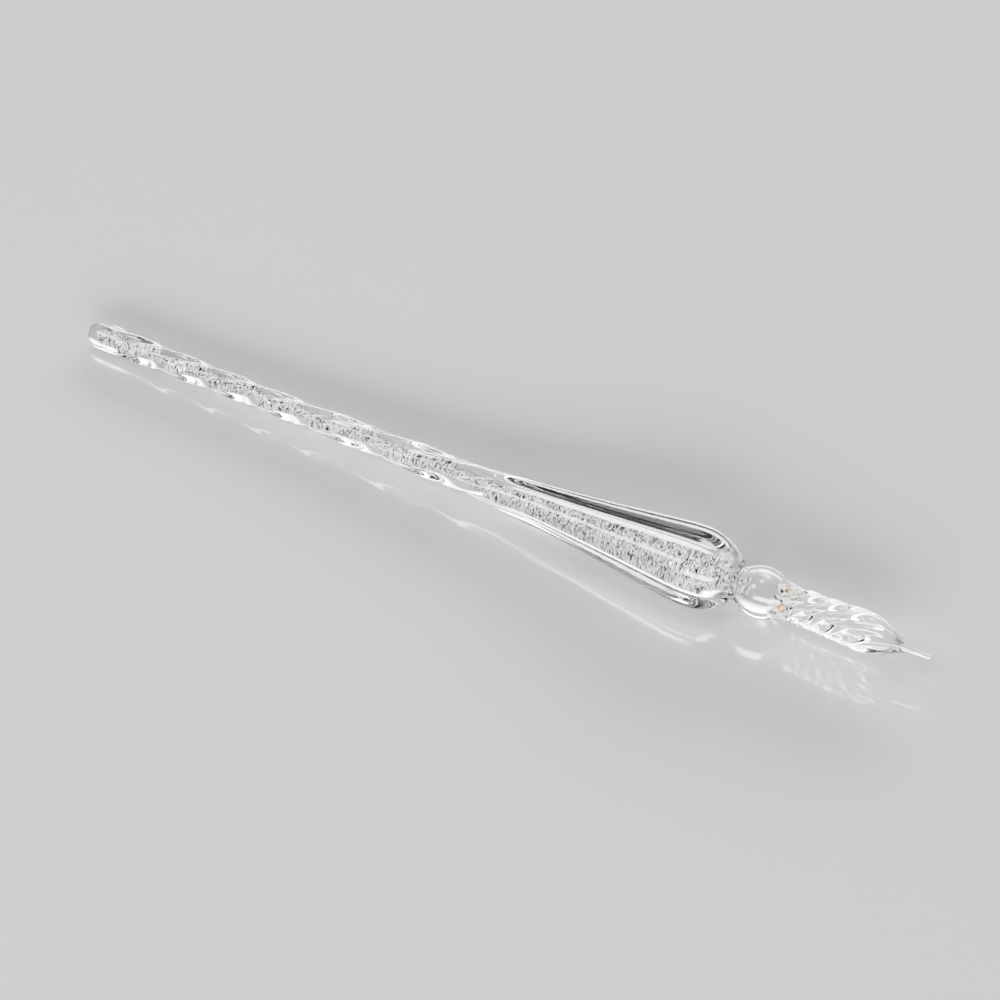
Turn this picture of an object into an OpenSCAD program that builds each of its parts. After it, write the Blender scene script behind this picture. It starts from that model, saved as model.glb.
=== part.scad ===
// A dip pen worked in glass: a ridged, twisted handle that swells into a bulb,
// a round tail knob, a joint ball and a nib of strands twisted round a core rod.
// The pen lies as it rests on a table: tail knob and bulb touch the surface,
// the nib points along +X and stands clear of it.

/* [Handle] */
// Distance from the tail end to the widest section of the bulb
handle_length = 131.9; // [120:0.1:145]
// Diameter of the slim, twisted part over its ridges
slim_d = 4.9; // [4:0.1:6.5]
// Diameter of the bulb over its ridges
bulb_d = 15.3; // [12:0.1:18]
// Half length of the ellipse that rounds the front of the bulb
bulb_nose = 9.35; // [8:0.05:12]
// Number of ridges along the handle
ridges = 4; // [3:1:6]
// Depth of the grooves between the bulb's ridges, as a share of the radius
groove_depth = 0.185; // [0.05:0.005:0.3]
// Depth of the grooves in the slim part, as a share of the radius
slim_groove = 0.25; // [0.05:0.01:0.35]

/* [Twist] */
// Turn of the ridges for each millimetre of the slim part, in degrees
slim_twist = 8.4; // [0:0.1:12]
// Turn for each millimetre where the handle starts to swell, in degrees
swell_twist = 5.5; // [0:0.1:8]
// Turn for each millimetre just before the ridges run straight, in degrees
last_twist = 4.6; // [0:0.1:8]

/* [Tail] */
// Diameter of the round knob at the tail
tail_d = 5.3; // [4.8:0.1:7]
// Length of the knob, up to where the handle starts
tail_length = 4.9; // [4.2:0.1:6]

/* [Glitter core] */
// Radius of the core in the bulb, as a share of the handle's radius
core_share = 0.26; // [0.15:0.01:0.4]
// Radius of the core in the slim part, as a share of the handle's radius
slim_core = 0.38; // [0.2:0.01:0.5]
// Distance from the tail end to the start of the core
core_start = 2.4; // [2:0.1:3]
// Distance from the widest section of the bulb to the front end of the core
core_front = 6.4; // [4:0.1:7]

/* [Joint ball] */
// Diameter of the ball between the bulb and the nib
ball_d = 9.6; // [8:0.1:12]
// Length of the ball between its two fused faces
ball_length = 9.1; // [7:0.1:11]
// Diameter of the neck where the ball is fused to the bulb
neck_d = 6.2; // [5:0.1:7.5]

/* [Nib] */
// Number of glass strands round the core rod
strands = 8; // [6:1:12]
// Length of the nib from the ball to the writing tip
nib_length = 28.4; // [26:0.1:32]
// Diameter over the strands where they leave the ball
nib_root_d = 7; // [6:0.1:7.5]
// Largest diameter over the strands
nib_d = 7.7; // [7:0.1:9]
// Length of the solid point in front of the strands
point_length = 6; // [5:0.1:8]
// Diameter of the writing tip
tip_d = 0.78; // [0.6:0.02:1.2]
// Depth of the ink grooves, as a share of the radius
ink_groove = 0.13; // [0.05:0.01:0.3]
// Turn of the strands for each millimetre, in degrees
strand_twist = 10.75; // [6:0.05:15]

/* [Hidden] */
clear_glass = [0.86, 0.90, 0.91, 0.45];
rib_glass = [0.80, 0.86, 0.88, 0.6];
silver_glitter = [0.78, 0.79, 0.80];

// Fineness
sides_per_ridge = 8;
slim_step = 1.5;
swell_step = 2.2;
nose_steps = 10;
strand_step = 1.2;
arc_steps = 6;
round_fn = 64;

// How sharp the bottom of a groove is: 0 is a soft wave, 1 is a crease
sharp_groove = 0.985;
soft_groove = 0.6;
nib_sharpness = 0.9;

// Places along the pen's own axis, measured from the tail end
bulb_at = handle_length;
neck_at = bulb_at + bulb_nose * sqrt(1 - pow(neck_d / bulb_d, 2));
nib_at = neck_at + ball_length;
tip_at = nib_at + nib_length;
strand_end = tip_at - point_length;
grooves_shrink_at = nib_at + 0.6 * nib_length;

// Crest radius of the handle: [place, radius, slope]
slim_r = slim_d / 2;
bulb_r = bulb_d / 2;
handle_outline = [
    [tail_length, slim_r + 0.2, 0.03],
    [0.07 * bulb_at, slim_r + 0.3, -0.01],
    [0.30 * bulb_at, slim_r, 0.005],
    [0.50 * bulb_at, slim_r + 0.35, 0.025],
    [0.67 * bulb_at, slim_r + 0.9, 0.045],
    [0.83 * bulb_at, 0.66 * bulb_r, 0.116],
    [0.945 * bulb_at, 0.91 * bulb_r, 0.13],
    [bulb_at, bulb_r, 0]
];
// Turn of the ridges for each millimetre: [place, degrees]
handle_twist = [
    [0, slim_twist],
    [0.35 * bulb_at, slim_twist],
    [0.41 * bulb_at, swell_twist],
    [0.65 * bulb_at, last_twist],
    [0.76 * bulb_at, 0],
    [tip_at, 0]
];
// Crest radius of the nib: [place, radius, slope]
nib_r = nib_d / 2;
tip_r = tip_d / 2;
nib_outline = [
    [nib_at, nib_root_d / 2, -0.03],
    [nib_at + 0.2 * nib_length, nib_root_d / 2 - 0.04, 0.01],
    [nib_at + 0.55 * nib_length, nib_r, 0],
    [nib_at + 0.67 * nib_length, 0.80 * nib_r, -0.46],
    [nib_at + 0.735 * nib_length, 0.55 * nib_r, -0.54],
    [nib_at + 0.81 * nib_length, 0.28 * nib_r, -0.33],
    [tip_at - 9 * tip_r, 1.55 * tip_r, -0.12],
    [tip_at, tip_r, -0.02]
];
// Turn of the strands for each millimetre: [place, degrees]
nib_twist = [
    [nib_at, strand_twist],
    [nib_at + 0.35 * nib_length, strand_twist],
    [nib_at + 0.55 * nib_length, strand_twist / 2],
    [nib_at + 0.72 * nib_length, strand_twist / 10],
    [tip_at, 0]
];
rod_share = 0.42;

// Sum of a list
function sum(list, i = 0) = i < len(list) ? list[i] + sum(list, i + 1) : 0;

// Smooth step from 0 at a to 1 at b
function fade(a, b, u) =
    let(t = min(max((u - a) / (b - a), 0), 1)) t * t * (3 - 2 * t);

// Cubic curve between two stations [place, value, slope]
function curve(p, q, u) =
    let(w = q[0] - p[0], t = (u - p[0]) / w)
    p[1] * (1 + 2 * t) * pow(1 - t, 2) + p[2] * w * t * pow(1 - t, 2)
    + q[1] * t * t * (3 - 2 * t) + q[2] * w * t * t * (t - 1);

// Value of an outline at a place
function along(outline, u) =
    let(last = len(outline) - 1, x = min(max(u, outline[0][0]), outline[last][0]))
    [for (i = [0 : last - 1])
        if (x >= outline[i][0] && x <= outline[i + 1][0]) curve(outline[i], outline[i + 1], x)][0];

// Total turn from the first place of a twist table up to a place
function turn_to(table, u) = sum([
    for (i = [0 : len(table) - 2])
        let(a = table[i][0], b = min(u, table[i + 1][0]))
        b > a ? (b - a) * (lookup(a, table) + lookup(b, table)) / 2 : 0
]);

// Radius of a ridged section at an angle from a ridge's crest
function ridged(radius, depth, sharpness, count, angle) =
    let(q = asin(sharpness * sin(count * angle / 2)) / asin(sharpness))
    radius * (1 - depth * q * q);

// 0 along the slim part of the handle and 1 from where it has swollen to the bulb
function swelling(u) = fade(0.52 * bulb_at, 0.76 * bulb_at, u);

// Handle: crest radius, groove depth, groove sharpness and turn at a place
function crest_r(u) = u <= bulb_at
    ? along(handle_outline, u)
    : bulb_r * sqrt(1 - pow((u - bulb_at) / bulb_nose, 2));
function depth_at(u) =
    (slim_groove + (groove_depth - slim_groove) * swelling(u))
    * fade(tail_length, 2.4 * tail_length, u)
    * (1 - fade(bulb_at + 0.15 * bulb_nose, neck_at, u));
function sharpness_at(u) = soft_groove + (sharp_groove - soft_groove) * swelling(u);
function handle_turn(u) = turn_to(handle_twist, bulb_at) - turn_to(handle_twist, u);

// Rings of the handle: close together where it twists, then by angle round the nose
handle_sides = sides_per_ridge * ridges;
slim_end = 0.41 * bulb_at;
slim_rings = ceil((slim_end - tail_length) / slim_step);
swell_rings = ceil((bulb_at - slim_end) / swell_step);
nose_angle = asin((neck_at - bulb_at) / bulb_nose);
ring_places = concat(
    [for (i = [0 : slim_rings - 1]) tail_length + (slim_end - tail_length) * i / slim_rings],
    [for (i = [0 : swell_rings - 1]) slim_end + (bulb_at - slim_end) * i / swell_rings],
    [for (i = [0 : nose_steps]) bulb_at + bulb_nose * sin(nose_angle * i / nose_steps)]
);
function handle_ring(u) = [
    for (j = [0 : handle_sides - 1])
        let(angle = 360 * j / handle_sides)
        let(r = ridged(crest_r(u), depth_at(u), sharpness_at(u), ridges, angle))
        let(a = 180 / ridges + handle_turn(u) + angle)
        [r * cos(a), r * sin(a), u]
];

// The resting pose: the pen leans so that the tail knob and the bulb both touch z = 0
foot_r = max([for (p = handle_ring(bulb_at)) p[0]]);
lean = asin((foot_r - tail_d / 2) / (bulb_at - tail_d / 2));
lift = -min(concat(
    [tail_d / 2 * sin(lean) - tail_d / 2],
    [for (u = ring_places) for (p = handle_ring(u)) u * sin(lean) - p[0] * cos(lean)]
));
back_x = tail_d / 2 * cos(lean) - tail_d / 2;
front_x = (tip_at - tip_r) * cos(lean) + tip_r;

module lie_down() {
    translate([-(back_x + front_x) / 2, 0, lift])
        rotate([0, 90 - lean, 0])
            children();
}

// Closed skin over rings of equal length, in triangles because a twisted side isn't flat
module skin(rings) {
    n = len(rings[0]);
    m = len(rings);
    sides = [for (i = [0 : m - 2]) for (j = [0 : n - 1])
        let(k = (j + 1) % n)
        let(a = i * n + j, b = a + n, c = (i + 1) * n + k, d = i * n + k)
        each [[a, b, c], [a, c, d]]];
    back = [for (j = [0 : n - 1]) j];
    front = [for (j = [n - 1 : -1 : 0]) (m - 1) * n + j];
    polyhedron(points = [for (ring = rings) each ring], faces = concat([back, front], sides));
}

// Solid of revolution from points [radius, place], closed along the axis
module turned(points) {
    first = points[0][1];
    last = points[len(points) - 1][1];
    rotate_extrude($fn = round_fn)
        polygon(concat([[0, first]], points, [[0, last]]));
}

// Outline of the core: it follows the handle's radius and is rounded at both ends
core_end = bulb_at + core_front;
core_cap = 4;
function core_r(u) =
    let(back = min((u - core_start) / 1.2, 1), front = min((core_end - u) / core_cap, 1))
    (slim_core + (core_share - slim_core) * swelling(u))
    * crest_r(min(max(u, tail_length), bulb_at))
    * sqrt(max(1 - pow(1 - back, 2), 0)) * sqrt(max(1 - pow(1 - front, 2), 0));
core_places = concat(
    [for (t = [0.1 : 0.3 : 1]) core_start + 1.2 * t],
    [for (u = [10 : 10 : 0.9 * bulb_at]) u],
    [for (t = [1 : -0.2 : 0.2]) core_end - core_cap * t],
    [core_end - 0.05 * core_cap]
);

module core_body() {
    turned([for (u = core_places) [core_r(u), u]]);
}

module tail_knob() {
    r = tail_d / 2;
    reach = tail_length - r;
    back = [for (a = [10 : 10 : 90]) [r * sin(a), r - r * cos(a)]];
    front_r = handle_outline[0][1];
    front = [for (t = [0.25 : 0.25 : 1]) [front_r + (r - front_r) * cos(90 * t), r + reach * t]];
    color(clear_glass)
        lie_down()
            difference() {
                turned(concat(back, front));
                core_body();
            }
}

module handle_casing() {
    color(clear_glass)
        lie_down()
            difference() {
                skin([for (u = ring_places) handle_ring(u)]);
                core_body();
            }
}

module glitter_core() {
    color(silver_glitter)
        lie_down()
            core_body();
}

// The ball swells from the neck and narrows again to the root of the nib
module joint_ball() {
    middle = neck_at + ball_length / 2;
    half = ball_length / 2;
    outline = [for (t = [-1 : 0.125 : 1])
        let(end_r = t < 0 ? neck_d / 2 : nib_root_d / 2)
        [end_r + (ball_d / 2 - end_r) * cos(90 * t), middle + half * t]];
    color(clear_glass)
        lie_down()
            turned(outline);
}

// Places of the nib's rings, and the faceted rod that the strands lie against
strand_rings = ceil((strand_end - nib_at) / strand_step);
strand_places = [for (i = [0 : strand_rings])
    nib_at + (strand_end - nib_at) * i / strand_rings];

module nib_core_rod() {
    fit = rod_share * cos(90 / strands);
    color(rib_glass)
        lie_down()
            turned([for (u = strand_places) [fit * along(nib_outline, u), u]]);
}

// Depth of the ink grooves at a place: they run out before the solid point
function ink_depth(u) = ink_groove * (1 - fade(grooves_shrink_at, strand_end, u));

// One strand: the sector of the nib between two ink grooves, outside the core rod.
// The ring starts at the middle of its inner side, from where every corner is in sight.
function strand_ring(index, u) =
    let(
        crest = along(nib_outline, u),
        half = 180 / strands,
        middle = 360 * index / strands - turn_to(nib_twist, u),
        outer = [for (j = [0 : arc_steps])
            let(a = half * (2 * j / arc_steps - 1))
            let(r = ridged(crest, ink_depth(u), nib_sharpness, strands, a))
            [r * cos(middle + a), r * sin(middle + a), u]],
        inner = [for (a = [0, -half, half])
            [rod_share * crest * cos(middle + a), rod_share * crest * sin(middle + a), u]]
    )
    concat([inner[0], inner[1]], outer, [inner[2]]);

module nib_strand(number) {
    color(rib_glass)
        lie_down()
            skin([for (u = strand_places) strand_ring(number - 1, u)]);
}

// The strands melt together into a solid point with a rounded end
module nib_point() {
    straight = tip_at - tip_r;
    cone = [for (t = [0 : 0.1 : 1])
        let(u = strand_end + (straight - strand_end) * t)
        [along(nib_outline, u), u]];
    end = [for (a = [20 : 20 : 80])
        [along(nib_outline, straight) * cos(a), straight + tip_r * sin(a)]];
    color(rib_glass)
        lie_down()
            turned(concat(cone, end, [[0.01, tip_at]]));
}

tail_knob();
handle_casing();
glitter_core();
joint_ball();
nib_core_rod();
nib_point();
nib_strand(1);  // nib_strand_1
nib_strand(2);  // nib_strand_2
nib_strand(3);  // nib_strand_3
nib_strand(4);  // nib_strand_4
nib_strand(5);  // nib_strand_5
nib_strand(6);  // nib_strand_6
nib_strand(7);  // nib_strand_7
nib_strand(8);  // nib_strand_8
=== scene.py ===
"""Looks of a glass dip pen: clear glass, a core of silver flakes and a nib of twisted strands."""
import math

import bpy
import numpy as np
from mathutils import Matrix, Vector


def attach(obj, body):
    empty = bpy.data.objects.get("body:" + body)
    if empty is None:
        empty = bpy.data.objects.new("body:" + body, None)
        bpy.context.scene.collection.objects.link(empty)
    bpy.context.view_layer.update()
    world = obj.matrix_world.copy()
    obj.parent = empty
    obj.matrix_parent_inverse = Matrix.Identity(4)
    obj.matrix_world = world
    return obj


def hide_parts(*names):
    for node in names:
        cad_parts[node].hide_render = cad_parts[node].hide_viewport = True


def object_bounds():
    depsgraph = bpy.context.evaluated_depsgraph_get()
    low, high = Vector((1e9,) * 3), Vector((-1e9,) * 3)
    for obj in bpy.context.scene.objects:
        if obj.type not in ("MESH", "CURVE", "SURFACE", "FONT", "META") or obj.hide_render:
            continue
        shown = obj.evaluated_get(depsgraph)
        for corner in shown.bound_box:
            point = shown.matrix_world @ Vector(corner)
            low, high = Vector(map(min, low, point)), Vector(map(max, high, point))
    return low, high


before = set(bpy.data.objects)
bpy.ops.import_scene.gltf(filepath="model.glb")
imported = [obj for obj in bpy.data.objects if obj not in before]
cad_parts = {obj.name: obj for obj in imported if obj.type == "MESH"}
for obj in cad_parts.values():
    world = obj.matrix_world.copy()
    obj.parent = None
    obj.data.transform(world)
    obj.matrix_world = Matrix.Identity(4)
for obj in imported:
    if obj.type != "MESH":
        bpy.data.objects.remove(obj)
cad_low, cad_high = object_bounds()

# The pen's sizes are in millimetres, and mm is one of those in metres, from the frame's own length
DESIGN_LENGTH = 177.836
mm = (cad_high[0] - cad_low[0]) / DESIGN_LENGTH

# Handle
BULB_AT, BULB_R, BULB_NOSE = 131.9, 7.65, 9.35
SLIM_R = 2.45
RIDGES, GROOVE_DEPTH, SLIM_GROOVE = 4, 0.185, 0.25
SHARP_GROOVE, SOFT_GROOVE = 0.985, 0.6
TAIL_R, TAIL_LENGTH = 2.65, 4.9
# Ball and nib
BALL_R, BALL_LENGTH, NECK_R = 4.8, 9.1, 3.1
STRANDS, INK_GROOVE, STRAND_TWIST = 8, 0.13, 10.75
NIB_LENGTH, NIB_ROOT_R, NIB_R, TIP_R = 28.4, 3.5, 3.85, 0.39
POINT_LENGTH, NIB_SHARPNESS = 6, 0.9
ROD_SHARE = 0.42
# Glitter core; the last two are the lengths of its rounded ends
CORE_SHARE, SLIM_CORE, CORE_START, CORE_FRONT = 0.26, 0.38, 2.4, 6.4
CORE_BACK_END, CORE_FRONT_END = 1.2, 4
# Length over which the nib's grooves run out on the ball
FLUTES_REACH = 1.4

# Flakes for each millimetre: in the slim part, and how many more in the bulb
SLIM_FLAKES, MORE_FLAKES = 220, 360
# Flake radius in the slim part, how much less in the bulb, its spread, and the stretch in the bulb
FLAKE_R, FLAKE_LESS, FLAKE_SPREAD, FLAKE_STRETCH = 0.135, 0.062, 0.3, 1.5
FLAKE_CORNERS, FLAKE_HEIGHT = 3, 0.25
# Share of the flakes in the core's skin, and where it begins and how thick it is, as shares of the radius
SKIN_FLAKES, SKIN_FROM, SKIN_DEEP = 0.85, 0.93, 0.07
# Share of the flakes that lie nearly flat, how far those and the others tip, and how far all are skewed
FLAT_FLAKES, FLAT_TIP, LOOSE_TIP, SKEW = 0.7, 0.25, 0.8, 0.35
# Reach of a flake's corners, in flake radii: the least, and how much more it can be
CORNER_REACH, CORNER_MORE = 0.8, 0.8
# Share of the flakes that strayed into the neck: they start behind the core's front end, run on for a
# length, and keep within a radius
STRAYS, STRAYS_BEHIND, STRAYS_LENGTH, STRAYS_R = 0.012, 1, 6, 2.6
GLITTER_SEED = 11

# Melted collar: shortest half length, scallops behind and ahead, ripple, share of the skin's radius
COLLAR_HALF, BACK_SCALLOP, FRONT_SCALLOP, COLLAR_RIPPLE, COLLAR_SHARE = 0.5, 1.5, 1.3, 0.12, 0.9
# Its skin: height of the ruffles, their run from back to front in radians, and height of the ripples
COLLAR_RUFFLE, COLLAR_RUFFLE_RUN, COLLAR_CHOP = 0.05, 7, 0.03
# Its ends: radius where they close, and the share of the radius by which they tuck in
COLLAR_HUB, COLLAR_TUCK = 0.4, 0.3
# Burnt spots: angles round the axis, in degrees, distance from it and place ahead of the nib's root
RESIDUE_AT = (168.6, 249.6)
RESIDUE_R, RESIDUE_AHEAD, RESIDUE_SEED = 3.25, 0.3, 5
# Their spikes: reach, radius, how far they dip, where they start and where they are thickest
SPIKES, SPIKE_SIDES = 11, 6
SPIKE_REACH, SPIKE_MORE = 0.8, 1.0
SPIKE_R, SPIKE_R_MORE = 0.14, 0.07
SPIKE_DIP, SPIKE_START, SPIKE_BELLY = 0.2, 0.1, 0.3

# How finely the pieces are drawn: sides round the axis and steps along it
HANDLE_SIDES, ROD_SIDES, COLLAR_SIDES, STAGE_SIDES = 128, 48, 192, 96
HANDLE_STEPS, NOSE_STEPS, KNOB_STEPS, NECK_STEPS = 420, 40, 24, 20
BALL_STEPS, NIB_STEPS, POINT_STEPS, TIP_STEPS = 72, 150, 40, 14
CREST_STEPS, ROOT_STEPS, COLLAR_STEPS, BEND_STEPS = 24, 6, 40, 24
CORE_STEPS = 400
# Degrees of arc by which the outermost rings of the knob and the tip stop short of their poles
KNOB_POLE, TIP_POLE = 2, 5

# Camera: the point it looks at and its distance, in millimetres; its turn, height and field, in degrees
CAMERA_TARGET, CAMERA_AWAY = (1.5, 1.75, 0), 534.9
CAMERA_TURN, CAMERA_UP, CAMERA_FIELD = 27.95, 51, 20

# The studio is in metres. Floor: radius of its flat part, bend up into the backdrop, top of the backdrop
FLOOR_REACH, FLOOR_BEND, BACKDROP_TOP, FLOOR_HUB = 3.0, 0.8, 3.0, 0.05
# Distances between which the paper turns paler, and the polish under the pen dies away
PALER_FROM, PALER_TO, POLISH_FROM, POLISH_TO = 0.7, 3.2, 0.06, 0.6
# Softboxes: name, place, point each one faces, width, height and power in watts
SOFTBOXES = [
    ("far_softbox", (-0.3, 1.5, 0.6), (0, 0, 0.1), 3.0, 0.75, 45),
    ("near_softbox", (0.5, -1.5, 0.6), (0, 0, 0.1), 3.0, 0.75, 70),
    ("overhead_box", (-0.2, 0.2, 1.6), (0, 0, 0), 0.5, 0.5, 4),
    ("side_box", (-0.45, -0.38, 0.79), (0, 0, 0), 0.42, 0.42, 3),
]
SOFTBOX_SPREAD, SOFTBOX_EDGE = 110, 0.35
# Lights that wash the backdrop: count, radius and height of their ring, what they face, size and power
WASHES, WASH_RING, WASH_HEIGHT = 6, 2, 1.6
WASH_FACES, WASH_FACES_HEIGHT, WASH_SIZE, WASH_POWER = 3.8, 0.6, 1.0, 16

NECK_AT = BULB_AT + BULB_NOSE * math.sqrt(1 - (NECK_R / BULB_R) ** 2)
NIB_AT = NECK_AT + BALL_LENGTH
TIP_AT = NIB_AT + NIB_LENGTH
STRAND_END = TIP_AT - POINT_LENGTH
GROOVES_SHRINK_AT = NIB_AT + 0.6 * NIB_LENGTH
CORE_END = BULB_AT + CORE_FRONT

# Slots of a glass piece: its open faces, and those where it is fused to the next piece
OPEN, FUSED = 0, 1
# Noise keeps mostly between these
NOISE_LOW, NOISE_HIGH = 0.3, 0.7

# Crest radius: place, radius, slope
HANDLE_OUTLINE = [
    (TAIL_LENGTH, SLIM_R + 0.2, 0.03),
    (0.07 * BULB_AT, SLIM_R + 0.3, -0.01),
    (0.30 * BULB_AT, SLIM_R, 0.005),
    (0.50 * BULB_AT, SLIM_R + 0.35, 0.025),
    (0.67 * BULB_AT, SLIM_R + 0.9, 0.045),
    (0.83 * BULB_AT, 0.66 * BULB_R, 0.116),
    (0.945 * BULB_AT, 0.91 * BULB_R, 0.13),
    (BULB_AT, BULB_R, 0),
]
NIB_OUTLINE = [
    (NIB_AT, NIB_ROOT_R, -0.03),
    (NIB_AT + 0.2 * NIB_LENGTH, NIB_ROOT_R - 0.04, 0.01),
    (NIB_AT + 0.55 * NIB_LENGTH, NIB_R, 0),
    (NIB_AT + 0.67 * NIB_LENGTH, 0.80 * NIB_R, -0.46),
    (NIB_AT + 0.735 * NIB_LENGTH, 0.55 * NIB_R, -0.54),
    (NIB_AT + 0.81 * NIB_LENGTH, 0.28 * NIB_R, -0.33),
    (TIP_AT - 9 * TIP_R, 1.55 * TIP_R, -0.12),
    (TIP_AT, TIP_R, -0.02),
]
# Turn in degrees for each millimetre: place, turn
HANDLE_TWIST = [(0, 8.4), (0.35 * BULB_AT, 8.4), (0.41 * BULB_AT, 5.5), (0.65 * BULB_AT, 4.6),
                (0.76 * BULB_AT, 0), (TIP_AT, 0)]
NIB_TWIST = [(NIB_AT, STRAND_TWIST), (NIB_AT + 0.35 * NIB_LENGTH, STRAND_TWIST),
             (NIB_AT + 0.55 * NIB_LENGTH, STRAND_TWIST / 2),
             (NIB_AT + 0.72 * NIB_LENGTH, STRAND_TWIST / 10), (TIP_AT, 0)]


def fade(a, b, u):
    """Smooth step from 0 at a to 1 at b."""
    t = np.clip((u - a) / (b - a), 0, 1)
    return t * t * (3 - 2 * t)


def along(outline, u):
    """Cubic curve through stations of place, value and slope."""
    place, value, slope = np.array(outline, float).T
    x = np.clip(u, place[0], place[-1])
    i = np.clip(np.searchsorted(place, x, side="right") - 1, 0, len(place) - 2)
    w = place[i + 1] - place[i]
    t = (x - place[i]) / w
    return (value[i] * (1 + 2 * t) * (1 - t) ** 2 + slope[i] * w * t * (1 - t) ** 2
            + value[i + 1] * t * t * (3 - 2 * t) + slope[i + 1] * w * t * t * (t - 1))


def turn_to(table, u):
    """Total turn in degrees from a twist table's first place up to u."""
    place, rate = np.array(table, float).T
    steps = np.concatenate([[0], np.cumsum((rate[1:] + rate[:-1]) / 2 * np.diff(place))])
    x = np.clip(u, place[0], place[-1])
    i = np.clip(np.searchsorted(place, x, side="right") - 1, 0, len(place) - 2)
    here = np.interp(x, place, rate)
    return steps[i] + (x - place[i]) * (rate[i] + here) / 2


def ridged(depth, sharpness, count, angle):
    """Share of the crest radius that a ridged section keeps at an angle, in degrees, from a crest."""
    q = np.arcsin(sharpness * np.sin(np.radians(count * angle / 2))) / np.arcsin(sharpness)
    return 1 - depth * q * q


def all_round(sides):
    """Angles in degrees, even steps round the axis, as one row."""
    return np.arange(sides)[None, :] * 360 / sides


def crest_r(u):
    """Radius of the handle's crests, up to the bulb's round nose."""
    nose = BULB_R * np.sqrt(np.clip(1 - ((u - BULB_AT) / BULB_NOSE) ** 2, 0, 1))
    return np.where(u <= BULB_AT, along(HANDLE_OUTLINE, u), nose)


def swelling(u):
    """0 along the slim part of the handle and 1 from where it has swollen to the bulb."""
    return fade(0.52 * BULB_AT, 0.76 * BULB_AT, u)


def depth_at(u):
    """Depth of the handle's grooves, which run out at the tail and at the neck."""
    depth = SLIM_GROOVE + (GROOVE_DEPTH - SLIM_GROOVE) * swelling(u)
    return (depth * fade(TAIL_LENGTH, 2.4 * TAIL_LENGTH, u)
            * (1 - fade(BULB_AT + 0.15 * BULB_NOSE, NECK_AT, u)))


def sharpness_at(u):
    """The grooves are soft waves in the slim part and nearly creases at the bulb."""
    return SOFT_GROOVE + (SHARP_GROOVE - SOFT_GROOVE) * swelling(u)


def flute_depth(u):
    """Depth of the nib's grooves where they run out on the ball."""
    return INK_GROOVE * fade(NIB_AT - FLUTES_REACH, NIB_AT, u)


def ink_depth(u):
    """Depth of the grooves between the nib's strands, which close towards the point."""
    return INK_GROOVE * (1 - fade(GROOVES_SHRINK_AT, STRAND_END, u))


def handle_turn(u):
    """Turn of the handle's ridges in degrees, counted back from the bulb."""
    return turn_to(HANDLE_TWIST, BULB_AT) - turn_to(HANDLE_TWIST, u)


def foot_r():
    """How far the bulb's two lower ridges reach below its axis."""
    angle = np.arange(0, 360, 0.5)
    return np.max(BULB_R * ridged(GROOVE_DEPTH, SHARP_GROOVE, RIDGES, angle)
                  * np.cos(np.radians(180 / RIDGES + angle)))


# The resting pose: tail knob and bulb touch the surface
FOOT_R = foot_r()
LEAN = math.asin((FOOT_R - TAIL_R) / (BULB_AT - TAIL_R))
LIFT = TAIL_R - TAIL_R * math.sin(LEAN)
BACK_X = TAIL_R * math.cos(LEAN) - TAIL_R
FRONT_X = (TIP_AT - TIP_R) * math.cos(LEAN) + TIP_R


def lie_down(points):
    """From the pen's own axes, in millimetres, to the frame, in metres."""
    x, y, u = np.moveaxis(np.asarray(points, float), -1, 0)
    return mm * np.stack([
        x * math.sin(LEAN) + u * math.cos(LEAN) - (BACK_X + FRONT_X) / 2,
        y,
        -x * math.cos(LEAN) + u * math.sin(LEAN) + LIFT,
    ], -1)


def polar(radius, angle, u):
    """Points from radius, angle in degrees and place, in the pen's own axes."""
    a = np.radians(angle)
    return np.stack([radius * np.cos(a), radius * np.sin(a), u + 0 * a], -1)


def mesh_object(name, points, faces, materials, slots=None, sharp=35):
    """A mesh with smooth faces, and sharp edges where they meet at more than an angle in degrees."""
    mesh = bpy.data.meshes.new(name)
    mesh.from_pydata(points, [], faces)
    for material in materials:
        mesh.materials.append(material)
    if slots is not None:
        mesh.polygons.foreach_set("material_index", np.array(slots, np.int32))
    mesh.polygons.foreach_set("use_smooth", np.ones(len(mesh.polygons), bool))
    mesh.set_sharp_from_angle(angle=math.radians(sharp))
    mesh.validate()
    mesh.update()
    obj = bpy.data.objects.new(name, mesh)
    bpy.context.scene.collection.objects.link(obj)
    return obj


def skin(name, rings, back, front, materials, side_slots=None):
    """Closed skin over rings; back and front are the slots of its two ends."""
    steps, sides = rings.shape[:2]
    points = [tuple(p) for p in rings.reshape(-1, 3)]
    faces, slots = [], []
    side_slots = side_slots or [OPEN] * sides
    for i in range(steps - 1):
        for j in range(sides):
            k = (j + 1) % sides
            faces.append((i * sides + j, i * sides + k, (i + 1) * sides + k, (i + 1) * sides + j))
            slots.append(side_slots[j])
    for ring, end in ((0, back), (steps - 1, front)):
        middle = len(points)
        points.append(tuple(rings[ring].mean(0)))
        for j in range(sides):
            a, b = ring * sides + j, ring * sides + (j + 1) % sides
            faces.append((middle, b, a) if ring == 0 else (middle, a, b))
            slots.append(end)
    return mesh_object(name, points, faces, materials, slots)


def principled(name):
    """A new material with its node tree and its shader."""
    material = bpy.data.materials.new(name)
    material.use_nodes = True
    return material, material.node_tree, material.node_tree.nodes["Principled BSDF"]


def grain(tree, scale, stretch=(1, 1, 1), detail=2.0):
    """Noise in the frame's own axes; scale is in features for each metre."""
    place = tree.nodes.new("ShaderNodeTexCoord").outputs["Object"]
    spread = tree.nodes.new("ShaderNodeMapping")
    spread.inputs["Scale"].default_value = stretch
    tree.links.new(place, spread.inputs["Vector"])
    noise = tree.nodes.new("ShaderNodeTexNoise")
    noise.inputs["Scale"].default_value = scale
    noise.inputs["Detail"].default_value = detail
    tree.links.new(spread.outputs[0], noise.inputs["Vector"])
    return noise.outputs["Fac"]


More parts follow.
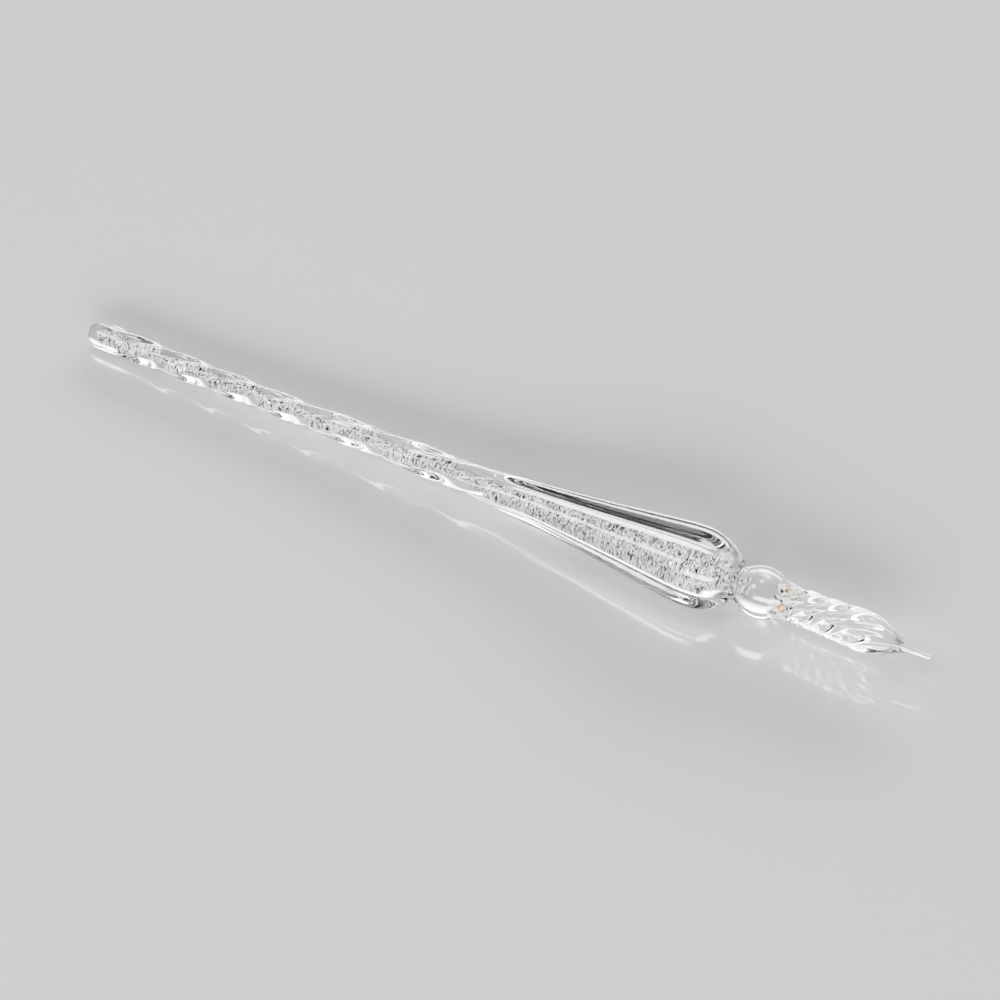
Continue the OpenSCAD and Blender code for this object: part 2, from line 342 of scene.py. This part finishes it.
def map_range(tree, value, start, end, low, high, interpolation="LINEAR"):
    """A value between start and end, brought to between low and high."""
    node = tree.nodes.new("ShaderNodeMapRange")
    node.interpolation_type = interpolation
    node.inputs["From Min"].default_value = start
    node.inputs["From Max"].default_value = end
    node.inputs["To Min"].default_value = low
    node.inputs["To Max"].default_value = high
    tree.links.new(value, node.inputs["Value"])
    return node.outputs[0]


def spread_to(tree, factor, low, high):
    """Noise spread between two values."""
    return map_range(tree, factor, NOISE_LOW, NOISE_HIGH, low, high)


def ramp(tree, factor, stops):
    """A colour ramp from a factor; stops are place and colour."""
    node = tree.nodes.new("ShaderNodeValToRGB")
    elements = node.color_ramp.elements
    while len(elements) < len(stops):
        elements.new(1)
    for element, (place, colour) in zip(elements, stops):
        element.position = place
        element.color = (*colour, 1)
    tree.links.new(factor, node.inputs["Fac"])
    return node.outputs["Color"]


def rippled(tree, shader, height, distance):
    """Shallow waves in a surface, as high as the distance in metres."""
    bump = tree.nodes.new("ShaderNodeBump")
    bump.inputs["Strength"].default_value = 1
    bump.inputs["Distance"].default_value = distance
    tree.links.new(height, bump.inputs["Height"])
    tree.links.new(bump.outputs[0], shader.inputs["Normal"])


def glass(name, tint):
    """Flame-worked glass: clear, faintly streaked along its length, its fire polish nearly perfect."""
    material, tree, shader = principled(name)
    shader.inputs["Base Color"].default_value = (*tint, 1)
    shader.inputs["IOR"].default_value = 1.5
    shader.inputs["Transmission Weight"].default_value = 1
    polish = grain(tree, scale=900, stretch=(0.3, 1, 1), detail=3.0)
    tree.links.new(spread_to(tree, polish, low=0.0, high=0.035), shader.inputs["Roughness"])
    streaks = grain(tree, scale=420, stretch=(0.12, 1, 1), detail=1.0)
    rippled(tree, shader, streaks, distance=0.012 * mm)
    return material


def milky_glass():
    """Frosted, cream glass where the strands' ends melted, cloudy in places."""
    material, tree, shader = principled("milky_glass")
    cloud = grain(tree, scale=1300, stretch=(0.6, 1, 1), detail=3.0)
    tint = ramp(tree, cloud, [(0.37, (0.04, 0.035, 0.03)), (0.43, (0.62, 0.57, 0.47)),
                              (0.47, (1.0, 0.99, 0.96)), (0.56, (0.98, 0.97, 0.92)),
                              (0.62, (0.66, 0.61, 0.50)), (0.70, (1.0, 0.98, 0.93))])
    tree.links.new(tint, shader.inputs["Base Color"])
    tree.links.new(spread_to(tree, cloud, low=0.2, high=0.6), shader.inputs["Roughness"])
    rippled(tree, shader, cloud, distance=0.15 * mm)
    return material


def amber():
    """Burnt residue, from pale honey to brown."""
    material, tree, shader = principled("amber_residue")
    shade = ramp(tree, grain(tree, scale=2600, detail=3.0),
                 [(0.35, (0.30, 0.16, 0.07)), (0.5, (0.66, 0.42, 0.22)), (0.68, (0.88, 0.70, 0.48))])
    tree.links.new(shade, shader.inputs["Base Color"])
    shader.inputs["Roughness"].default_value = 0.35
    shader.inputs["IOR"].default_value = 1.1
    shader.inputs["Transmission Weight"].default_value = 0.25
    return material


def weld():
    """Where two pieces of glass are fused there is nothing to see."""
    material, _, shader = principled("fused_glass")
    shader.inputs["Alpha"].default_value = 0
    return material


def silver():
    """Each flake has a shade of its own: a third are painted near-black, as painted shade for shadowed
    flakes and the dark gaps between them; a few are mirrors, the rest are pale.
    """
    material, tree, shader = principled("silver_glitter")
    flake = tree.nodes.new("ShaderNodeNewGeometry").outputs["Random Per Island"]
    # The near-black stops up to 0.33 are painted shade: dark flakes that stand in for shadowed flakes and
    # the gaps between them
    shade = ramp(tree, flake, [(0, (0.015, 0.015, 0.017)), (0.33, (0.04, 0.04, 0.045)),
                               (0.36, (0.97, 0.97, 0.98)), (1, (0.99, 0.99, 0.985))])
    mirror = ramp(tree, flake, [(0, (0.2, 0.2, 0.2)), (0.35, (1, 1, 1)),
                                (0.46, (1, 1, 1)), (0.49, (0.06, 0.06, 0.06))])
    tree.links.new(shade, shader.inputs["Base Color"])
    tree.links.new(mirror, shader.inputs["Metallic"])
    tree.links.new(spread_to(tree, grain(tree, scale=5000), low=0.15, high=0.4),
                   shader.inputs["Roughness"])
    return material


def place_piece(obj, nodes):
    """Fix a piece to the pen, and hide the CAD nodes that it stands for."""
    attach(obj, "root")
    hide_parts(*nodes)


GLASS = glass("clear_glass", (0.985, 0.99, 0.99))
WELD = weld()


def handle_rings(places, radii):
    """Ridged, twisted rings of the handle for crest radii at places."""
    angle = all_round(HANDLE_SIDES)
    u = places[:, None]
    radius = radii[:, None] * ridged(depth_at(u), sharpness_at(u), RIDGES, angle)
    return lie_down(polar(radius, 180 / RIDGES + handle_turn(u) + angle, u))


def round_rings(places, radii, sides):
    """Plain round rings for radii at places."""
    angle = all_round(sides)
    return lie_down(polar(radii[:, None] + 0 * angle, angle, places[:, None]))


def handle_casing():
    """Clear outer glass of the handle, from the tail knob to the neck in front of the bulb."""
    nose = np.linspace(0, math.asin((NECK_AT - BULB_AT) / BULB_NOSE), NOSE_STEPS)
    places = np.concatenate([
        np.linspace(TAIL_LENGTH, BULB_AT, HANDLE_STEPS, endpoint=False),
        BULB_AT + BULB_NOSE * np.sin(nose),
    ])
    obj = skin("casing_glass", handle_rings(places, crest_r(places)), FUSED, FUSED, [GLASS, WELD])
    place_piece(obj, ["handle_casing"])


def tail_knob():
    """A half ball that eases into the handle's thin end."""
    reach = TAIL_LENGTH - TAIL_R
    a = np.radians(np.linspace(KNOB_POLE, 90, KNOB_STEPS, endpoint=False))
    t = np.linspace(0, 1, NECK_STEPS)
    places = np.concatenate([TAIL_R - TAIL_R * np.cos(a), TAIL_R + reach * t])
    front_r = HANDLE_OUTLINE[0][1]
    radii = np.concatenate([TAIL_R * np.sin(a), front_r + (TAIL_R - front_r) * np.cos(t * math.pi / 2)])
    obj = skin("tail_glass", handle_rings(places, radii), OPEN, FUSED, [GLASS, WELD])
    place_piece(obj, ["tail_knob"])


def ball_r(u):
    """Radius of the ball between the neck and the nib's root."""
    t = np.clip((u - NECK_AT) / (BALL_LENGTH / 2) - 1, -1, 1)
    end_r = np.where(t < 0, NECK_R, NIB_ROOT_R)
    return end_r + (BALL_R - end_r) * np.cos(t * math.pi / 2)


def joint_ball():
    """Clear ball whose front takes on the nib's grooves."""
    u = np.linspace(NECK_AT, NIB_AT, BALL_STEPS)[:, None]
    angle = all_round(HANDLE_SIDES)
    radius = ball_r(u) * ridged(flute_depth(u), NIB_SHARPNESS, STRANDS, angle)
    rings = lie_down(polar(radius, angle - turn_to(NIB_TWIST, u), u))
    obj = skin("ball_glass", rings, FUSED, FUSED, [GLASS, WELD])
    place_piece(obj, ["joint_ball"])


def nib():
    """Strands round a centre rod. A strand's crest is glass, and its two flanks and its root are fused."""
    places = np.linspace(NIB_AT, STRAND_END, NIB_STEPS)
    crest = along(NIB_OUTLINE, places)
    half = 180 / STRANDS
    outer = np.linspace(-half, half, CREST_STEPS + 1)
    inner = np.linspace(half, -half, ROOT_STEPS + 1)
    angles = np.concatenate([outer, inner])
    fluted = ridged(ink_depth(places)[:, None], NIB_SHARPNESS, STRANDS, outer[None, :])
    share = np.hstack([fluted, np.full((len(places), len(inner)), ROD_SHARE)])
    side_slots = [OPEN] * CREST_STEPS + [FUSED] * (ROOT_STEPS + 2)
    for index in range(STRANDS):
        middle = 360 * index / STRANDS - turn_to(NIB_TWIST, places)
        rings = lie_down(polar(crest[:, None] * share,
                               middle[:, None] + angles[None, :], places[:, None]))
        obj = skin(f"strand_glass_{index + 1}", rings, FUSED, FUSED, [GLASS, WELD], side_slots)
        place_piece(obj, [f"nib_strand_{index + 1}"])
    rings = round_rings(places, ROD_SHARE * crest, ROD_SIDES)
    obj = skin("rod_glass", rings, FUSED, FUSED, [WELD, WELD])
    place_piece(obj, ["nib_core_rod"])


def nib_point():
    """The strands' ends melted together and drawn to a round tip."""
    straight = TIP_AT - TIP_R
    cone = np.linspace(STRAND_END, straight, POINT_STEPS, endpoint=False)
    a = np.radians(np.linspace(0, 90 - TIP_POLE, TIP_STEPS))
    places = np.concatenate([cone, straight + TIP_R * np.sin(a)])
    end_r = along(NIB_OUTLINE, np.array([straight]))[0]
    radii = np.concatenate([along(NIB_OUTLINE, cone), end_r * np.cos(a)])
    rings = round_rings(places, radii, HANDLE_SIDES)
    obj = skin("point_glass", rings, FUSED, OPEN, [GLASS, WELD])
    place_piece(obj, ["nib_point"])


def melted_collar():
    """The strands' roots, melted into the ball: a cloudy sleeve with scalloped ends and a ruffled skin."""
    angle = all_round(COLLAR_SIDES)
    scallop = np.abs(np.cos(np.radians(STRANDS * angle / 2)))
    # Two waves that don't keep step, so that no two scallops are alike
    ripple = np.sin(np.radians(3 * STRANDS * angle + 40)) + np.sin(np.radians(19 * angle))
    back = NIB_AT - COLLAR_HALF - BACK_SCALLOP * scallop - COLLAR_RIPPLE * ripple
    front = NIB_AT + COLLAR_HALF + FRONT_SCALLOP * scallop + COLLAR_RIPPLE * ripple
    across = np.linspace(0, 1, COLLAR_STEPS)[:, None]
    u = back + across * (front - back)
    skin_r = np.where(u < NIB_AT, ball_r(u), along(NIB_OUTLINE, u))
    waves = np.sin(COLLAR_RUFFLE_RUN * across + np.radians(STRANDS * angle))
    ruffle = COLLAR_RUFFLE * waves + COLLAR_CHOP * ripple
    radius = skin_r * ridged(flute_depth(u), NIB_SHARPNESS, STRANDS, angle) * COLLAR_SHARE + ruffle
    # Only the last step or two at each end tuck in
    radius *= 1 - COLLAR_TUCK * np.abs(2 * across - 1) ** 8
    sleeve = polar(radius, angle - turn_to(NIB_TWIST, u), u)
    ends = [polar(np.full_like(angle, COLLAR_HUB), angle, np.full_like(angle, place))
            for place in (NIB_AT - COLLAR_HALF, NIB_AT + COLLAR_HALF)]
    rings = lie_down(np.concatenate([ends[0], sleeve, ends[1]]))
    obj = skin("melted_collar", rings, OPEN, OPEN, [milky_glass()])
    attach(obj, "root")


def spike_points(middle, outward, spoke, reach, thick):
    """A spike's start, its thickest ring and its end."""
    side = np.cross(spoke, outward)
    side /= np.linalg.norm(side)
    up = np.cross(side, spoke)
    belly = middle + SPIKE_BELLY * reach * spoke
    ring = [belly + thick * (math.cos(a) * side + math.sin(a) * up)
            for a in np.radians(all_round(SPIKE_SIDES)[0])]
    return [middle - SPIKE_START * spoke, *ring, middle + reach * spoke]


def burnt_residue():
    """Two small stars of residue, where the collar shows at the nib's upper and lower outline."""
    rng = np.random.default_rng(RESIDUE_SEED)
    points, faces = [], []
    for angle in RESIDUE_AT:
        middle = polar(np.array(RESIDUE_R), angle, np.array(NIB_AT + RESIDUE_AHEAD))
        outward = polar(np.array(1.0), angle, np.array(0.0))
        around = polar(np.array(1.0), angle + 90, np.array(0.0))
        ahead = np.array([0, 0, 1.0])
        for spike in range(SPIKES):
            turn = 2 * math.pi * (spike + 0.5 * rng.random()) / SPIKES
            reach = SPIKE_REACH + SPIKE_MORE * rng.random()
            thick = SPIKE_R + SPIKE_R_MORE * rng.random()
            spoke = math.cos(turn) * around + math.sin(turn) * ahead - SPIKE_DIP * reach * outward
            spoke /= np.linalg.norm(spoke)
            start = len(points)
            points += spike_points(middle, outward, spoke, reach, thick)
            for j in range(SPIKE_SIDES):
                a, b = start + 1 + j, start + 1 + (j + 1) % SPIKE_SIDES
                faces += [(start, a, b), (start + 1 + SPIKE_SIDES, b, a)]
    obj = mesh_object("burnt_residue", [tuple(p) for p in lie_down(points)], faces, [amber()])
    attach(obj, "root")


def core_r(u):
    """Radius of the glitter core: a share of the handle's, rounded off at both ends."""
    back = np.clip((u - CORE_START) / CORE_BACK_END, 0, 1)
    front = np.clip((CORE_END - u) / CORE_FRONT_END, 0, 1)
    ends = np.sqrt(1 - (1 - back) ** 2) * np.sqrt(1 - (1 - front) ** 2)
    share = SLIM_CORE + (CORE_SHARE - SLIM_CORE) * swelling(u)
    return share * crest_r(np.clip(u, TAIL_LENGTH, BULB_AT)) * ends


def flake_places(rng):
    """Each flake's angle, its place along the pen and its point: most lie in the core's skin."""
    places = np.linspace(CORE_START, CORE_END, CORE_STEPS)
    chance = np.cumsum(SLIM_FLAKES + MORE_FLAKES * swelling(places))
    count = int(chance[-1] * (places[1] - places[0]))
    u = np.interp(rng.random(count) * chance[-1], chance, places)
    in_skin = SKIN_FROM + SKIN_DEEP * rng.random(count)
    deep = np.where(rng.random(count) < SKIN_FLAKES, in_skin, np.sqrt(rng.random(count)))
    angle = 360 * rng.random(count)
    stray = rng.random(count) < STRAYS
    u = np.where(stray, CORE_END - STRAYS_BEHIND + STRAYS_LENGTH * rng.random(count), u)
    radius = np.where(stray, STRAYS_R * np.sqrt(rng.random(count)), core_r(u) * deep)
    return angle, u, polar(radius, angle, u)


def unit(vectors):
    """The same directions with length 1."""
    return vectors / np.linalg.norm(vectors, axis=1)[:, None]


def flake_frames(rng, angle):
    """Each flake's own axes: across the core, nearly along it, and roughly out from it."""
    count, level = len(angle), 0 * angle
    outward = polar(np.ones(count), angle, level)
    tip = np.where(rng.random(count) < FLAT_FLAKES, FLAT_TIP, LOOSE_TIP)
    normal = unit(outward + tip[:, None] * rng.standard_normal((count, 3)))
    across = polar(np.ones(count), angle + 90, level) + SKEW * rng.standard_normal((count, 3))
    side = unit(across - normal * np.sum(across * normal, axis=1)[:, None])
    return np.stack([side, np.cross(normal, side), normal], -1)


def flake_shapes(rng, size, stretch):
    """Uneven corners round a low peak, in each flake's own axes. The bulb's flakes are long across it."""
    count, corners = len(size), FLAKE_CORNERS
    turn = 2 * math.pi * (np.arange(corners) + 0.5 * rng.random((count, corners))) / corners
    reach = size[:, None] * (CORNER_REACH + CORNER_MORE * rng.random((count, corners)))
    shape = np.zeros((count, corners + 1, 3))
    shape[:, :corners, 0] = reach * np.cos(turn) * stretch[:, None]
    shape[:, :corners, 1] = reach * np.sin(turn)
    shape[:, corners, 2] = FLAKE_HEIGHT * size
    return shape


def glitter():
    """Silver flakes, most of them on the skin of the core, as thin closed chips."""
    rng = np.random.default_rng(GLITTER_SEED)
    angle, u, at = flake_places(rng)
    count, corners = len(u), FLAKE_CORNERS
    size = (FLAKE_R - FLAKE_LESS * swelling(u)) * np.exp(FLAKE_SPREAD * rng.standard_normal(count))
    frames = flake_frames(rng, angle)
    shapes = flake_shapes(rng, size, 1 + FLAKE_STRETCH * swelling(u))
    points = at[:, None, :] + np.einsum("nij,nkj->nki", frames, shapes)
    chip = [tuple(range(corners))[::-1]] + [(j, (j + 1) % corners, corners) for j in range(corners)]
    faces = (np.arange(count)[:, None, None] * (corners + 1) + np.array(chip)[None]).reshape(-1, 3)
    obj = mesh_object("glitter_flakes", [tuple(p) for p in lie_down(points).reshape(-1, 3)],
                      [tuple(f) for f in faces.tolist()], [silver()], sharp=5)
    place_piece(obj, ["glitter_core"])


def camera():
    """Seen from the near side, past the nib, and from a little over half way up."""
    target = Vector(CAMERA_TARGET) * mm
    yaw, up, away = math.radians(CAMERA_TURN), math.radians(CAMERA_UP), CAMERA_AWAY * mm
    data = bpy.data.cameras.new("camera")
    data.sensor_width = 36
    data.angle = math.radians(CAMERA_FIELD)
    obj = bpy.data.objects.new("camera", data)
    obj.location = target + away * Vector((math.cos(up) * math.sin(yaw),
                                           -math.cos(up) * math.cos(yaw), math.sin(up)))
    obj.rotation_euler = (target - obj.location).to_track_quat("-Z", "Y").to_euler()
    data.clip_start, data.clip_end = 0.01, 50
    bpy.context.scene.collection.objects.link(obj)
    bpy.context.scene.camera = obj


def paper_sweep():
    """Pale matt paper, paler towards the backdrop, with a polished stretch under the pen."""
    material, tree, shader = principled("pale_floor")
    away = tree.nodes.new("ShaderNodeVectorMath")
    away.operation = "LENGTH"
    tree.links.new(tree.nodes.new("ShaderNodeTexCoord").outputs["Object"], away.inputs[0])
    distance = away.outputs["Value"]
    paler = map_range(tree, distance, PALER_FROM, PALER_TO, 0, 1, "SMOOTHSTEP")
    tone = ramp(tree, paler, [(0, (0.35, 0.35, 0.353)), (1, (0.80, 0.80, 0.805))])
    polish = map_range(tree, distance, POLISH_FROM, POLISH_TO, 0.5, 0, "SMOOTHSTEP")
    tree.links.new(tone, shader.inputs["Base Color"])
    tree.links.new(polish, shader.inputs["Specular IOR Level"])
    shader.inputs["Roughness"].default_value = 0.09
    return material


def stage():
    """A wide pale floor that curves up into a backdrop all round."""
    a = np.linspace(0, math.pi / 2, BEND_STEPS)[1:]
    radius = np.concatenate([[FLOOR_HUB, FLOOR_REACH], FLOOR_REACH + FLOOR_BEND * np.sin(a),
                             [FLOOR_REACH + FLOOR_BEND]])
    z = np.concatenate([[0, 0], FLOOR_BEND - FLOOR_BEND * np.cos(a), [BACKDROP_TOP]])
    sides = STAGE_SIDES
    turn = np.arange(sides) * 2 * math.pi / sides
    rings = np.stack([radius[:, None] * np.cos(turn), radius[:, None] * np.sin(turn),
                      z[:, None] + 0 * turn], -1)
    points = [tuple(p) for p in rings.reshape(-1, 3)] + [(0, 0, 0)]
    faces = [(i * sides + j, i * sides + (j + 1) % sides,
              (i + 1) * sides + (j + 1) % sides, (i + 1) * sides + j)
             for i in range(len(radius) - 1) for j in range(sides)]
    faces += [(len(points) - 1, j, (j + 1) % sides) for j in range(sides)]
    obj = mesh_object("floor", points, faces, [paper_sweep()])


def soft_edges(data):
    """A softbox is brightest in its middle and fades towards its edges."""
    data.use_nodes = True
    tree = data.node_tree
    place = tree.nodes.new("ShaderNodeNewGeometry").outputs["Parametric"]
    split = tree.nodes.new("ShaderNodeSeparateXYZ")
    tree.links.new(place, split.inputs[0])
    fades = []
    for axis in "XY":
        away = tree.nodes.new("ShaderNodeMath")
        away.operation = "PINGPONG"
        away.inputs[1].default_value = 0.5
        tree.links.new(split.outputs[axis], away.inputs[0])
        fades.append(map_range(tree, away.outputs[0], 0, SOFTBOX_EDGE, 0, 1, "SMOOTHSTEP"))
    both = tree.nodes.new("ShaderNodeMath")
    both.operation = "MULTIPLY"
    tree.links.new(fades[0], both.inputs[0])
    tree.links.new(fades[1], both.inputs[1])
    tree.links.new(both.outputs[0], tree.nodes["Emission"].inputs["Strength"])


def card(name, at, aim, width, height, power):
    """A softbox that the camera doesn't see."""
    data = bpy.data.lights.new(name, "AREA")
    data.shape = "RECTANGLE"
    data.size, data.size_y = width, height
    data.energy = power
    data.spread = math.radians(SOFTBOX_SPREAD)
    soft_edges(data)
    obj = bpy.data.objects.new(name, data)
    obj.location = at
    obj.rotation_euler = (Vector(aim) - Vector(at)).to_track_quat("-Z", "Y").to_euler()
    obj.visible_camera = False
    bpy.context.scene.collection.objects.link(obj)


def lights():
    """Faint light from all round, the softboxes, and the lights that wash the backdrop."""
    world = bpy.data.worlds.new("studio")
    world.use_nodes = True
    world.node_tree.nodes["Background"].inputs["Color"].default_value = (0.07, 0.07, 0.073, 1)
    world.node_tree.nodes["Background"].inputs["Strength"].default_value = 0.6
    bpy.context.scene.world = world
    for softbox in SOFTBOXES:
        card(*softbox)
    for index in range(WASHES):
        turn = math.radians(360 * index / WASHES)
        at = (WASH_RING * math.cos(turn), WASH_RING * math.sin(turn), WASH_HEIGHT)
        aim = (WASH_FACES * math.cos(turn), WASH_FACES * math.sin(turn), WASH_FACES_HEIGHT)
        card(f"backdrop_wash_{index + 1}", at, aim, WASH_SIZE, WASH_SIZE, WASH_POWER)


def render_settings():
    """Enough bounces for glass in glass, and the view's tone."""
    cycles = bpy.context.scene.cycles
    cycles.max_bounces = 24
    cycles.transmission_bounces = 24
    cycles.transparent_max_bounces = 48
    bpy.context.scene.view_settings.view_transform = "AgX"
    bpy.context.scene.view_settings.look = "AgX - High Contrast"
    bpy.context.scene.view_settings.exposure = 0.3


camera()
stage()
lights()
render_settings()
handle_casing()
tail_knob()
joint_ball()
nib()
nib_point()
melted_collar()
burnt_residue()
glitter()
